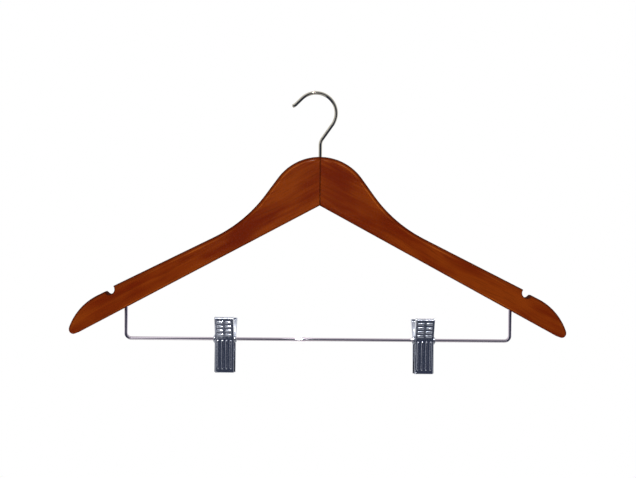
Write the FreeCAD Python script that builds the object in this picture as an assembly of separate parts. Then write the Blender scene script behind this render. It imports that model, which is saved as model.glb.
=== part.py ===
import FreeCAD, Part
import math
import os
from FreeCAD import Placement, Rotation, Vector

# Wooden skirt hanger with a swivel hook, a wire bar and two spring clips on the bar.
# Millimetres and degrees. +X runs along the arms, +Y to the back and +Z up.
# The pieces are drawn from the point where the undersides of the arms meet, and are then
# lowered so that the origin is the inside of the hook, where the rail bears, on the swivel axis.

# Wooden arms
wood_thickness = 12.0
half_span = 222.4
underside_angle = 28.3
shoulder_angle = 26.5
arm_depth = 25.0
dome_height = 43.4
dome_radius = 46.5
flank_angle = 54.0
hollow_radius = 124.0
nose_radius = 50.0
nose_drop = 1.3
tip_radius = 4.5
top_round = 4.0
under_round = 1.3

# Strap notches, measured in from the tips of the arms
notch_inset = 35.5
notch_radius = 4.4
notch_sink = 1.5
notch_bevel = 1.4

# Comb joint at the neck
comb_finger_length = 6.0
comb_finger_thickness = 4.0
seam_groove_width = 0.5
seam_groove_depth = 0.3

# Swivel hook
hook_wire = 3.2
crown_radius = 18.2
crown_height = 83.2
crown_offset = 4.2
crown_end_angle = 135.0
shank_lean = 35.0
shank_bend_radius = 11.0
tip_run = 7.0
flare_radius = 8.0
flare_angle = 24.0
hook_tip_length = 0.9
hook_tip_radius = 0.9
hook_head_radius = 2.9
hook_head_height = 1.8
hook_head_bevel = 0.6
swivel_clearance = 0.08

# Washer and its counterbore
washer_radius = 4.0
washer_thickness = 1.0
washer_seat_height = 9.0
washer_fit = 0.1
washer_play = 0.15

# Wire bar, its legs measured in from the tips of the arms
bar_wire = 3.0
bar_drop = 120.5
bar_leg_inset = 50.0
bar_bend_radius = 5.0
bar_socket_depth = 12.0
bar_socket_fit = 0.05
bar_socket_air = 0.3

# Clips
left_clip_place = -83.7
right_clip_place = 94.5
clip_width = 16.6
clip_sheet = 0.8
clip_half_depth = 5.25
finger_height = 20.5
finger_lean = 18.0
rear_finger_height = 17.5
rear_finger_lean = 34.0
finger_lip_depth = 2.6
finger_roll_radius = 1.8
jaw_drop = 30.0
jaw_lean = 5.2
jaw_edge_gap = 0.75
jaw_side_bevel = 0.7
jaw_toe_round = 0.6
finger_edge_lag = 2.0
ear_radius = 3.9
ear_side_gap = 0.3

# Sleeve that the jaws turn on
sleeve_bar_clearance = 0.1
sleeve_wall = 0.55
sleeve_ear_clearance = 0.06
sleeve_head_radius = 3.0
sleeve_head_thickness = 0.8
sleeve_head_taper = 0.5
sleeve_side_play = 0.12

# Torsion spring
spring_wire = 0.9
spring_sleeve_gap = 0.35
spring_turns = 3
spring_pitch = 1.8
spring_sides = 6
spring_samples = 400
spring_leg = 15.0
spring_leg_gap = 0.1

# Grip pads
pad_height = 9.5
pad_fit = 0.05
pad_bite_gap = 0.1
pad_groove_count = 4
pad_groove_depth = 0.45

# Pressed beads on the fingers and ribs on the jaws
press_height = 0.75
press_slope = 0.75
press_corner_share = 0.6
bead_width = 2.9
bead_length = 6.5
bead_spacing = 7.45
bead_foot = 4.55
bead_pitch = 3.95
rib_width = 2.7
rib_pitch = 3.8
rib_count = 4
rib_toe = 3.0
rib_head = 0.1

# Sides that small round forms are drawn with
wire_sides = 10
ear_sides = 16
sleeve_head_sides = 20

# Cuts run past the faces that they open
overrun = 2.0

# An edge is found within this share of a small size next to it
match_share = 0.1

x_axis = Vector(1, 0, 0)
y_axis = Vector(0, 1, 0)
z_axis = Vector(0, 0, 1)


def sine(angle):
    return math.sin(math.radians(angle))


def cosine(angle):
    return math.cos(math.radians(angle))


def tangent(angle):
    return math.tan(math.radians(angle))


def in_front(x, z):
    """A point of the hanger's middle plane."""
    return Vector(x, 0, z)


def in_side(y, z):
    """A point of a clip's middle plane, from the bar's axis."""
    return Vector(0, y, z)


def line(start, end):
    return Part.LineSegment(start, end).toShape()


def arc(start, middle, end):
    return Part.Arc(start, middle, end).toShape()


def round_between(start, end, centre, radius):
    """The shorter arc about a centre from one point to another."""
    halfway = (start + end) * 0.5 - centre
    return arc(start, centre + halfway.normalize() * radius, end)


def middle_of(edge):
    return edge.valueAt((edge.FirstParameter + edge.LastParameter) / 2)


def board(edges):
    """A flat outline made as thick as the wood."""
    face = Part.Face(Part.Wire(edges))
    solid = face.extrude(y_axis * wood_thickness)
    solid.translate(y_axis * (-wood_thickness / 2))
    return solid


def round_rims(solid, rounds):
    """Rounds the front and back rims of a board, with a radius at each end of an outline edge."""
    document = FreeCAD.newDocument()
    base = document.addObject("Part::Feature", "base")
    base.Shape = solid
    rounded = document.addObject("Part::Fillet", "rounded")
    rounded.Base = base
    reach = wood_thickness / 2
    near = under_round * match_share
    chosen = []
    for outline_edge, first_radius, last_radius in rounds:
        target = middle_of(outline_edge)
        for number, edge in enumerate(base.Shape.Edges, 1):
            place = middle_of(edge)
            across = math.hypot(place.x - target.x, place.z - target.z)
            if across < near and abs(abs(place.y) - reach) < near:
                chosen.append((number, first_radius, last_radius))
    rounded.Edges = chosen
    document.recompute()
    result = rounded.Shape.copy()
    FreeCAD.closeDocument(document.Name)
    return result


def rod(radius, start, end):
    run = end - start
    return Part.makeCylinder(radius, run.Length, start, run)


def ring_points(centre, heading, radius, sides):
    """A ring of points round a line."""
    turn = Rotation(z_axis, heading)
    points = []
    for number in range(sides):
        angle = 360 * (number + 0.5) / sides
        points.append(centre + turn.multVec(Vector(cosine(angle), sine(angle), 0) * radius))
    return points


def bent_wire(path, thickness, sides):
    """A wire along a path of lines and arcs, its round section drawn with a number of sides."""
    start = path[0].valueAt(path[0].FirstParameter)
    heading = path[0].tangentAt(path[0].FirstParameter)
    ring = ring_points(start, heading, thickness / 2, sides)
    return Part.Wire(path).makePipeShell([Part.makePolygon(ring + ring[:1])], True, False)


# Levels that several pieces share
seat_height = crown_height + math.sqrt((crown_radius - hook_wire / 2) ** 2 - crown_offset ** 2)
notch_reach = half_span - notch_inset
bar_leg_reach = half_span - bar_leg_inset
notch_shoulder = arm_depth - notch_reach * tangent(underside_angle)
along_shoulder = in_front(cosine(shoulder_angle), -sine(shoulder_angle))
into_shoulder = in_front(-sine(shoulder_angle), -cosine(shoulder_angle))
shoulder_point = in_front(notch_reach, notch_shoulder)
notch_centre = shoulder_point + into_shoulder * notch_sink

# The front jaw turns between the sides of the rear jaw
rear_jaw_width = clip_width + 2 * (ear_side_gap + clip_sheet)


def neck_board():
    """The right arm from the seam to the middle of its notch."""
    apex = in_front(0, 0)
    crest = in_front(0, dome_height)
    dome_centre = in_front(0, dome_height - dome_radius)
    dome_end = dome_centre + in_front(sine(flank_angle), cosine(flank_angle)) * dome_radius
    down_flank = in_front(cosine(flank_angle), -sine(flank_angle))
    flank_slope = tangent(flank_angle)
    shoulder_slope = tangent(shoulder_angle)
    rise = dome_end.z + flank_slope * dome_end.x - shoulder_point.z - shoulder_slope * shoulder_point.x
    corner_x = rise / (flank_slope - shoulder_slope)
    corner = in_front(corner_x, shoulder_point.z - shoulder_slope * (corner_x - shoulder_point.x))
    setback = hollow_radius * tangent((flank_angle - shoulder_angle) / 2)
    hollow_start = corner - down_flank * setback
    hollow_end = corner + along_shoulder * setback
    hollow_centre = hollow_end - into_shoulder * hollow_radius
    cut_foot = foot_below(shoulder_point)
    dome = round_between(crest, dome_end, dome_centre, dome_radius)
    flank = line(dome_end, hollow_start)
    hollow = round_between(hollow_start, hollow_end, hollow_centre, hollow_radius)
    shoulder = line(hollow_end, shoulder_point)
    underside = line(cut_foot, apex)
    edges = [dome, flank, hollow, shoulder, line(shoulder_point, cut_foot), underside, line(apex, crest)]
    rounds = [(edge, top_round, top_round) for edge in (dome, flank, hollow, shoulder)]
    rounds.append((underside, under_round, under_round))
    return round_rims(board(edges), rounds)


def foot_below(point):
    """Where a line from a point, square to the shoulder, meets the underside of the right arm."""
    slope = tangent(underside_angle)
    depth = (point.z + slope * point.x) / (cosine(shoulder_angle) + slope * sine(shoulder_angle))
    return point + into_shoulder * depth


def nose_board():
    """The right arm from the middle of its notch to its tip."""
    lip = shoulder_point + into_shoulder * nose_drop
    tip_centre_x = half_span - tip_radius
    tip_centre_z = tip_radius / cosine(underside_angle) - tip_centre_x * tangent(underside_angle)
    tip_centre = in_front(tip_centre_x, tip_centre_z)
    first_centre = lip + into_shoulder * nose_radius
    from_tip = first_centre - tip_centre
    inner = nose_radius - tip_radius
    half_term = from_tip.dot(along_shoulder)
    run = -half_term - math.sqrt(half_term ** 2 - from_tip.dot(from_tip) + inner ** 2)
    nose_start = lip + along_shoulder * run
    nose_centre = nose_start + into_shoulder * nose_radius
    nose_end = nose_centre + (tip_centre - nose_centre) * (nose_radius / inner)
    tip_end = tip_centre - in_front(sine(underside_angle), cosine(underside_angle)) * tip_radius
    cut_foot = foot_below(shoulder_point)
    lip_run = line(lip, nose_start)
    nose = round_between(nose_start, nose_end, nose_centre, nose_radius)
    tip = round_between(nose_end, tip_end, tip_centre, tip_radius)
    underside = line(tip_end, cut_foot)
    edges = [lip_run, nose, tip, underside, line(cut_foot, lip)]
    rounds = [(lip_run, top_round, top_round), (nose, top_round, top_round)]
    rounds.append((tip, top_round, under_round))
    rounds.append((underside, under_round, under_round))
    return round_rims(board(edges), rounds)


def notch_cutter():
    """A round cutter through the wood that flares at both faces."""
    face_reach = wood_thickness / 2
    flare = notch_radius + notch_bevel

    def spot(radius, y):
        return notch_centre + Vector(radius, y, 0)

    end = face_reach + overrun
    outline = [
        spot(0, -end),
        spot(flare, -end),
        spot(flare, -face_reach),
        spot(notch_radius, notch_bevel - face_reach),
        spot(notch_radius, face_reach - notch_bevel),
        spot(flare, face_reach),
        spot(flare, end),
        spot(0, end),
    ]
    face = Part.Face(Part.makePolygon(outline + outline[:1]))
    return face.revolve(notch_centre, y_axis, 360)


def half_blank():
    """The right arm before the neck joint is cut."""
    blank = neck_board().fuse(nose_board()).removeSplitter()
    socket_top = bar_leg_top() + bar_socket_air
    socket_foot = in_front(bar_leg_reach, -bar_drop)
    socket = rod(bar_wire / 2 + bar_socket_fit, socket_foot, in_front(bar_leg_reach, socket_top))
    return blank.cut(notch_cutter()).cut(socket)


def bar_leg_top():
    return bar_socket_depth - bar_leg_reach * tangent(underside_angle)


def mirrored(shape):
    return shape.mirror(Vector(0, 0, 0), x_axis)


def comb_space(side, start_y):
    """The room that one comb finger takes on the far side of the seam."""
    height = 2 * dome_height
    corner = Vector(min(0, side * comb_finger_length), start_y, -dome_height / 2)
    return Part.makeBox(comb_finger_length, comb_finger_thickness, height, corner)


def neck_cuts():
    """The swivel bore, the washer's counterbore and the fine groove along the seam."""
    bore_radius = hook_wire / 2 + swivel_clearance
    bore = rod(bore_radius, in_front(0, -overrun), in_front(0, dome_height + overrun))
    counterbore_foot = in_front(0, -washer_radius)
    counterbore = rod(washer_radius + washer_fit, counterbore_foot, in_front(0, washer_seat_height))
    cuts = [bore, counterbore]
    for side in (-1, 1):
        face_y = side * wood_thickness / 2
        half_width = seam_groove_width / 2
        corners = [
            Vector(-half_width, face_y, -overrun),
            Vector(half_width, face_y, -overrun),
            Vector(0, face_y - side * seam_groove_depth, -overrun),
        ]
        groove = Part.Face(Part.makePolygon(corners + corners[:1]))
        cuts.append(groove.extrude(z_axis * (dome_height + overrun)))
    return cuts


def wooden_arms():
    """Two halves with a comb finger each, which lie side by side behind the seam."""
    right = half_blank()
    left = mirrored(right)
    left_finger = right.common(comb_space(1, 0))
    right_finger = left.common(comb_space(-1, -comb_finger_thickness))
    left_arm = left.cut(right_finger).fuse(left_finger).removeSplitter()
    right_arm = right.cut(left_finger).fuse(right_finger).removeSplitter()
    for cut in neck_cuts():
        left_arm = left_arm.cut(cut)
        right_arm = right_arm.cut(cut)
    return {"left_arm": left_arm, "right_arm": right_arm}


def swivel_hook():
    """A bent wire with a round tip above and an upset head below the washer."""
    head_top = washer_seat_height - washer_thickness - washer_play
    head_foot = head_top - hook_head_height
    crown = in_front(-crown_offset, crown_height)
    lean_run = in_front(sine(shank_lean), cosine(shank_lean))
    corner_drop = (crown_radius - crown_offset * cosine(shank_lean)) / sine(shank_lean)
    corner = in_front(0, crown_height - corner_drop)
    setback = shank_bend_radius * tangent(shank_lean / 2)
    bend_start = corner - z_axis * setback
    bend_end = corner + lean_run * setback
    bend_centre = bend_start + x_axis * shank_bend_radius
    crown_start = crown + in_front(cosine(shank_lean), -sine(shank_lean)) * crown_radius
    half_turn = (crown_end_angle - shank_lean) / 2
    crown_middle = crown + in_front(cosine(half_turn), sine(half_turn)) * crown_radius
    crown_end = crown + in_front(cosine(crown_end_angle), sine(crown_end_angle)) * crown_radius
    run_on = in_front(-sine(crown_end_angle), cosine(crown_end_angle))
    flare_start = crown_end + run_on * tip_run
    flare_centre = flare_start + in_front(run_on.z, -run_on.x) * flare_radius
    turn = Rotation(y_axis, flare_angle)
    flare_end = flare_centre + turn.multVec(flare_start - flare_centre)
    path = [
        line(in_front(0, head_foot), bend_start),
        round_between(bend_start, bend_end, bend_centre, shank_bend_radius),
        line(bend_end, crown_start),
        arc(crown_start, crown_middle, crown_end),
        line(crown_end, flare_start),
        round_between(flare_start, flare_end, flare_centre, flare_radius),
    ]
    wire = bent_wire(path, hook_wire, wire_sides)
    tip_heading = turn.multVec(run_on)
    tip_end = flare_end + tip_heading * hook_tip_length
    tip = skinned([
        ring_points(flare_end, tip_heading, hook_wire / 2, wire_sides),
        ring_points(tip_end, tip_heading, hook_tip_radius, wire_sides),
    ])
    head_waist = in_front(0, head_foot + hook_head_bevel)
    head = skinned([
        ring_points(in_front(0, head_foot), z_axis, hook_head_radius - hook_head_bevel, wire_sides),
        ring_points(head_waist, z_axis, hook_head_radius, wire_sides),
        ring_points(in_front(0, head_top), z_axis, hook_head_radius, wire_sides),
    ])
    return {"swivel_hook": wire.fuse([tip, head]).removeSplitter()}


def hook_washer():
    seat = in_front(0, washer_seat_height)
    foot = seat - z_axis * washer_thickness
    disc = rod(washer_radius, foot, seat)
    hole = rod(hook_wire / 2 + washer_fit, foot - z_axis * overrun, seat + z_axis * overrun)
    return {"hook_washer": disc.cut(hole)}


def clip_bar():
    """A wire with both ends bent up into the arms."""
    bend_centre = in_front(bar_leg_reach - bar_bend_radius, bar_bend_radius - bar_drop)
    level = bend_centre - z_axis * bar_bend_radius
    upright = bend_centre + x_axis * bar_bend_radius
    leg_end = in_front(bar_leg_reach, bar_leg_top())

    def on_left(point):
        return in_front(-point.x, point.z)

    path = [
        line(on_left(leg_end), on_left(upright)),
        round_between(on_left(upright), on_left(level), on_left(bend_centre), bar_bend_radius),
        line(on_left(level), level),
        round_between(level, upright, bend_centre, bar_bend_radius),
        line(upright, leg_end),
    ]
    return {"clip_bar": bent_wire(path, bar_wire, wire_sides)}


def pressing(width, length):
    """A low ridge with sloping sides and cut corners that stands on a sheet, its length along local X."""
    rings = []
    for inset, level in ((0, -clip_sheet / 2), (press_slope, press_height)):
        half_length = length / 2 - inset
        half_width = width / 2 - inset
        cut = half_width * press_corner_share
        ring = []
        for x_side, y_side in ((1, 1), (-1, 1), (-1, -1), (1, -1)):
            on_end = Vector(x_side * half_length, y_side * (half_width - cut), level)
            on_flank = Vector(x_side * (half_length - cut), y_side * half_width, level)
            ring += [on_end, on_flank] if x_side == y_side else [on_flank, on_end]
        rings.append(ring)
    return skinned(rings)


def skinned(rings):
    """A solid with flat sides between like rings of points."""
    faces = [Part.Face(Part.makePolygon(ring + ring[:1])) for ring in (rings[0], rings[-1])]
    for lower, upper in zip(rings, rings[1:]):
        for number in range(len(lower)):
            corners = [lower[number - 1], lower[number], upper[number], upper[number - 1]]
            faces.append(Part.Face(Part.makePolygon(corners + corners[:1])))
    solid = Part.Solid(Part.Shell(faces))
    if solid.Volume < 0:
        solid.reverse()
    return solid


def on_sheet(shape, lean, turn, across, up):
    """Sets a pressing on the outside of a front sheet, measured up the sheet from the bar's level."""
    shape = shape.copy()
    spun = Placement(Vector(across, up, 0), Rotation(z_axis, turn))
    leant = Placement(Vector(0, -clip_half_depth, 0), Rotation(x_axis, 90 + lean))
    shape.Placement = leant.multiply(spun)
    return shape


def pressings(top, lean):
    """Two columns of beads, as many as a finger has room for, and upright ribs on the jaw."""
    shapes = []
    bead = pressing(bead_width, bead_length)
    room = top / cosine(lean) - finger_roll_radius - bead_width / 2 - bead_foot
    for row in range(int(room / bead_pitch) + 1):
        up = bead_foot + row * bead_pitch
        for side in (-1, 1):
            shapes.append(on_sheet(bead, lean, 0, side * bead_spacing / 2, up))
    rib_length = jaw_drop / cosine(jaw_lean) - rib_toe - rib_head
    rib = pressing(rib_width, rib_length)
    for number in range(rib_count):
        across = (number - (rib_count - 1) / 2) * rib_pitch
        shapes.append(on_sheet(rib, jaw_lean, 90, across, -rib_head - rib_length / 2))
    return shapes


def side_prism(points, width):
    """A side outline made as wide as asked, about the clip's middle plane."""
    face = Part.Face(Part.makePolygon(points + points[:1]))
    solid = face.extrude(x_axis * width)
    solid.translate(x_axis * (-width / 2))
    return solid


def sheet_y(z, inset, lean=finger_lean):
    """How far out a front sheet lies at a height, inset from its outside, with the lean of its finger."""
    if z <= 0:
        lean = jaw_lean
    return z * -tangent(lean) - clip_half_depth + inset / cosine(lean)


def jaw_pan(width, top, lean):
    """A jaw's folded sheet, in the front place: a bent face, two sides, a turned-in toe and a rolled top."""
    edge_angle = lean - finger_edge_lag
    edge_slope = tangent(edge_angle)
    ear_top = ear_radius * cosine(edge_angle)
    outside = [
        in_side(sheet_y(top, 0, lean), top),
        in_side(-clip_half_depth, 0),
        in_side(sheet_y(-jaw_drop, 0), -jaw_drop),
        in_side(-jaw_edge_gap, -jaw_drop),
        in_side(-jaw_edge_gap, 0),
        in_side(-ear_top * edge_slope, ear_top),
        in_side(-top * edge_slope, top),
    ]
    pan = side_prism(outside, width)
    pan = pan.makeChamfer(jaw_side_bevel, long_corners(pan, width, lean))
    pan = pan.makeFillet(finger_roll_radius, edges_along_x(pan, outside[0]))
    pan = pan.makeFillet(jaw_toe_round, edges_along_x(pan, outside[2]))
    hollow_top = top - clip_sheet
    hollow_foot = clip_sheet - jaw_drop
    hollow = [
        in_side(sheet_y(hollow_top, clip_sheet, lean), hollow_top),
        in_side(sheet_y(0, clip_sheet), 0),
        in_side(sheet_y(hollow_foot, clip_sheet), hollow_foot),
        in_side(overrun, hollow_foot),
        in_side(overrun, hollow_top),
    ]
    inner_width = width - 2 * clip_sheet
    room = side_prism(hollow, inner_width)
    room = room.makeFillet(finger_roll_radius - clip_sheet, edges_along_x(room, hollow[0]))
    lip_edge = sheet_y(top, finger_lip_depth, lean)
    lip_corner = Vector(-inner_width / 2, lip_edge, hollow_top - overrun)
    lip_cut = Part.makeBox(inner_width, overrun - lip_edge, clip_sheet + 2 * overrun, lip_corner)
    return pan.cut(room).cut(lip_cut)


def edges_along_x(shape, point):
    """The edge across the clip that passes through a point of its middle plane."""
    near = clip_sheet * match_share
    return [edge for edge in shape.Edges if middle_of(edge).distanceToPoint(point) < near]


def long_corners(pan, width, lean):
    """The two long corners where the jaw's face turns into its sides."""
    near = clip_sheet * match_share
    chosen = []
    for edge in pan.Edges:
        place = middle_of(edge)
        run = edge.tangentAt((edge.FirstParameter + edge.LastParameter) / 2)
        at_side = abs(abs(place.x) - width / 2) < near
        on_face = abs(place.y - sheet_y(place.z, 0, lean)) < near
        if at_side and on_face and abs(run.x) < abs(run.z):
            chosen.append(edge)
    return chosen


def ears(width):
    """Round ears about the pivot, in the planes of a jaw's two sides."""
    ring = ring_points(x_axis * (width / 2 - clip_sheet), x_axis, ear_radius, ear_sides)
    plate = Part.Face(Part.makePolygon(ring + ring[:1])).extrude(x_axis * clip_sheet)
    return [plate, mirrored(plate)]


def pivot_hole():
    hole_radius = bar_wire / 2 + sleeve_bar_clearance + sleeve_wall + sleeve_ear_clearance
    half = rear_jaw_width / 2 + overrun
    return rod(hole_radius, x_axis * -half, x_axis * half)


def jaw(width, top, lean):
    """A jaw in the front place, with its pressings and its pierced ears."""
    additions = pressings(top, lean) + ears(width)
    return jaw_pan(width, top, lean).fuse(additions).removeSplitter().cut(pivot_hole())


def to_rear(shape):
    return shape.mirror(Vector(0, 0, 0), y_axis)


def grip_pad(jaw_width):
    """A pad in the front place: a block in the toe of the jaw, its bite scored across."""
    foot = clip_sheet + pad_fit - jaw_drop
    top = foot + pad_height
    bite = -pad_bite_gap
    points = [
        in_side(sheet_y(foot, clip_sheet + pad_fit), foot),
        in_side(bite, foot),
        in_side(bite, top),
        in_side(sheet_y(top, clip_sheet + pad_fit), top),
    ]
    width = jaw_width - 2 * clip_sheet - 2 * pad_fit
    pad = side_prism(points, width)
    pitch = pad_height / (pad_groove_count + 1)
    for number in range(1, pad_groove_count + 1):
        level = foot + number * pitch
        groove = [
            in_side(bite, level - pad_groove_depth),
            in_side(bite - pad_groove_depth, level),
            in_side(bite, level + pad_groove_depth),
        ]
        pad = pad.cut(side_prism(groove, width + overrun))
    return pad


def clip_sleeve():
    """A hollow rivet with a spread head at each end."""
    bore = bar_wire / 2 + sleeve_bar_clearance
    barrel = bore + sleeve_wall
    shoulder = rear_jaw_width / 2 + sleeve_side_play
    end = shoulder + sleeve_head_thickness
    body = rod(barrel, x_axis * -shoulder, x_axis * shoulder)
    crest = sleeve_head_radius - sleeve_head_taper
    for side in (-1, 1):
        head = skinned([
            ring_points(x_axis * side * shoulder, x_axis, sleeve_head_radius, sleeve_head_sides),
            ring_points(x_axis * side * end, x_axis, crest, sleeve_head_sides),
        ])
        body = body.fuse(head)
    return body.removeSplitter().cut(rod(bore, x_axis * -(end + overrun), x_axis * (end + overrun)))


def biarc(start, start_run, end, end_run):
    """Two arcs that leave one point and reach another along the given headings."""
    chord = end - start
    both = start_run + end_run
    spread = 2 * (1 - start_run.dot(end_run))
    reach = (math.sqrt(chord.dot(both) ** 2 + spread * chord.dot(chord)) - chord.dot(both)) / spread
    joint = (start + end + (start_run - end_run) * reach) * 0.5
    halves = [
        (start, joint, start + start_run * reach),
        (joint, end, end - end_run * reach),
    ]
    arcs = []
    for first, last, corner in halves:
        weight_share = (last - first).Length / 2 / reach
        middle = ((first + last) * 0.5 + corner * weight_share) * (1 / (1 + weight_share))
        arcs.append(arc(first, middle, last))
    return arcs


def leg_lean_for(lean, coil_radius):
    """How far a spring leg leans that lies on the inside of a finger."""
    face_distance = clip_half_depth * cosine(lean) - clip_sheet
    spare = face_distance - spring_wire / 2 - spring_leg_gap - coil_radius
    return lean + math.degrees(math.asin(spare / spring_leg))


def clip_spring():
    """A torsion spring round the sleeve, with a leg up the inside of each finger."""
    coil_radius = bar_wire / 2 + sleeve_bar_clearance + sleeve_wall + spring_sleeve_gap + spring_wire / 2
    leg_lean = leg_lean_for(finger_lean, coil_radius)
    total_turn = 360 * spring_turns + 180 - leg_lean - leg_lean_for(rear_finger_lean, coil_radius)
    length = spring_pitch * total_turn / 360
    climb = spring_pitch / (2 * math.pi)
    slope_length = math.hypot(coil_radius, climb)

    def place(turned):
        angle = 180 + leg_lean + turned
        x = length * (turned / total_turn) - length / 2
        return Vector(x, coil_radius * cosine(angle), coil_radius * sine(angle))

    def heading(turned):
        angle = 180 + leg_lean + turned
        run = Vector(climb, -coil_radius * sine(angle), coil_radius * cosine(angle))
        return run * (1 / slope_length)

    steps = 2 * spring_turns + 1
    turns = [total_turn * step / steps for step in range(steps + 1)]
    path = [line(place(0) - heading(0) * spring_leg, place(0))]
    for first, last in zip(turns, turns[1:]):
        path += biarc(place(first), heading(first), place(last), heading(last))
    path.append(line(place(total_turn), place(total_turn) + heading(total_turn) * spring_leg))
    points = [place(total_turn * step / spring_samples) for step in range(spring_samples + 1)]
    least = least_gap(points, 2 * coil_radius) - spring_wire
    print("clip spring, least gap between turns: %.2f mm" % least)
    print("clip spring, lean %.3f, turn %.3f, length %.4f" % (leg_lean, total_turn, length))
    return bent_wire(path, spring_wire, spring_sides)


def least_gap(points, apart):
    """The least distance between points of a path that lie more than a given way apart along it."""
    step = (points[1] - points[0]).Length
    skip = int(apart / step) + 1
    return min((points[i] - later).Length for i in range(len(points)) for later in points[i + skip:])


def clips():
    """Both clips from one set of pieces."""
    pieces = {
        "sleeve": clip_sleeve(),
        "spring": clip_spring(),
        "front_jaw": jaw(clip_width, finger_height, finger_lean),
        "rear_jaw": to_rear(jaw(rear_jaw_width, rear_finger_height, rear_finger_lean)),
        "front_pad": grip_pad(clip_width),
        "rear_pad": to_rear(grip_pad(rear_jaw_width)),
    }
    placed = {}
    for side, place in (("left", left_clip_place), ("right", right_clip_place)):
        for name, shape in pieces.items():
            copy = shape.copy()
            copy.translate(in_front(place, -bar_drop))
            placed["%s_clip_%s" % (side, name)] = copy
    return placed


os.makedirs("parts", exist_ok=True)
for group in (wooden_arms(), swivel_hook(), hook_washer(), clip_bar(), clips()):
    for name, shape in group.items():
        solid = shape.Solids[0]
        solid.translate(z_axis * -seat_height)
        solid.exportStep("parts/%s.step" % name)
        print(name, len(shape.Solids), shape.isValid(), round(solid.Volume, 1))
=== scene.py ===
import math

import bmesh
import bpy
from mathutils import Matrix, Vector


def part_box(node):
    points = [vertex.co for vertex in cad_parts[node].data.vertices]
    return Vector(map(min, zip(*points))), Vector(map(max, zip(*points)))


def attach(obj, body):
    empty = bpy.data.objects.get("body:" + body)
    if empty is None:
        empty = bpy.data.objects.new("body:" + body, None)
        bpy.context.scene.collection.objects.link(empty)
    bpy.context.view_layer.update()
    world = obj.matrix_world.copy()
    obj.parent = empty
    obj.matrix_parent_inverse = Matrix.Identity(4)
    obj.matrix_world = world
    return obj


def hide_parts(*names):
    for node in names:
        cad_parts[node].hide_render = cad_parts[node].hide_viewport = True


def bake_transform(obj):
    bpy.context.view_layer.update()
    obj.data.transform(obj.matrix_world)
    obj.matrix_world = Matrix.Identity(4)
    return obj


bl_info = {
    "name": "Skirt hanger",
    "version": (1, 0, 0),
    "blender": (4, 5, 0),
    "location": "View3D > Sidebar > Hanger",
    "description": "Dresses the packed skirt hanger in lacquered wood, plated wire and pressed steel clips",
    "category": "Object",
}

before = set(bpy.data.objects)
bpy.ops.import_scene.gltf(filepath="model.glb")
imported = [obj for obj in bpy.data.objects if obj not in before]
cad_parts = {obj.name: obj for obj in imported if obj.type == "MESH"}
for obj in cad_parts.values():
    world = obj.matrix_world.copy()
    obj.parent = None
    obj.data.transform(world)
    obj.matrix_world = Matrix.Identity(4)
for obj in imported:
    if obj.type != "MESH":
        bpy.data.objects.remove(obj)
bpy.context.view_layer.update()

MM = 0.001
SIDES = ("left", "right")
PLACES = ("front", "rear")
MERGE_DISTANCE = 0.002 * MM
FLAT_ANGLE = math.radians(1.0)
SHARP_ANGLE = math.radians(35.0)

# How finely each round form is divided
HOOK_SIDES = 28
BAR_SIDES = 24
SPRING_SIDES = 12
SPRING_STEPS = 132
BEND_STEPS = 12
CROWN_STEPS = 64
FLARE_STEPS = 8
LATHE_STEPS = 40
FLOOR_SIDES = 96

# The hook's tip is rounded over this length, in steps of this turn
TIP_LENGTH = 0.9 * MM
TIP_STEPS = 4
TIP_TURN = math.radians(18.0)

# The hook's head hangs this far below its washer, whose hole has some play and whose rim is bevelled
HEAD_GAP = 0.15 * MM
WASHER_PLAY = 0.1 * MM
WASHER_RIM = 0.12 * MM

# How far the sheet or rubber turns, in degrees, at the edges that are rounded, and in how many steps
PRESS_ANGLES = (45, 75)
PRESS_SEGMENTS = 4
LIP_SEGMENTS = 3
CUT_ANGLES = (75, 180)
PAD_ANGLES = (40, 180)
EDGE_SEGMENTS = 2


def linear(colour):
    """A hex colour as it is read on a screen, in the renderer's linear values."""
    shares = [int(colour[start:start + 2], 16) / 255 for start in (1, 3, 5)]
    return [c / 12.92 if c <= 0.04045 else ((c + 0.055) / 1.055) ** 2.4 for c in shares]


def opaque(colour):
    return (*colour, 1.0)


def length_of(value, name, description):
    return bpy.props.FloatProperty(
        name=name, description=description, default=value * MM, min=0.0, precision=5, unit="LENGTH"
    )


def angle_of(value, name, description):
    return bpy.props.FloatProperty(
        name=name, description=description, default=math.radians(value), unit="ROTATION"
    )


def colour_of(value, name, description):
    return bpy.props.FloatVectorProperty(
        name=name, description=description, default=linear(value), size=3, min=0.0, max=1.0,
        subtype="COLOR",
    )


def watts_of(value, name, description):
    return bpy.props.FloatProperty(
        name=name, description=description, default=value, min=0.0, unit="POWER"
    )


class HangerWood(bpy.types.PropertyGroup):
    stain_light: colour_of("#7F340A", "Light stain", "Stain on the soft early wood")
    stain_dark: colour_of("#661D06", "Dark stain", "Stain on the dense late wood")
    pore_colour: colour_of("#451504", "Pores", "Stain that has settled in the pores")
    # Painted highlight: a pale line where the top edges begin to round over
    painted_highlight_colour: colour_of("#A2521A", "Painted highlight", "Painted highlight where the face begins to round over")
    # Painted shade on the rims, and the colour of the dark line along the glued seam
    painted_rim_shade_and_seam_colour: colour_of("#2C0C04", "Rim", "Painted shade on the rims, and the dark seam")
    patch_width: length_of(16.0, "Patch width", "Width of a patch that takes the stain evenly")
    patch_length: length_of(48.0, "Patch length", "Length of a patch that takes the stain evenly")
    grain_angle: angle_of(28.3, "Grain angle", "How far the grain of each arm falls away from the neck")
    band_width: length_of(4.2, "Band width", "Width of a growth band across the board")
    band_length: length_of(120.0, "Band length", "Length of a growth band along the board")
    pore_width: length_of(0.8, "Pore width", "Width of a pore line, wider than life so that it shows")
    pore_length: length_of(24.0, "Pore length", "Length of a pore line along the board")


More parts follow.
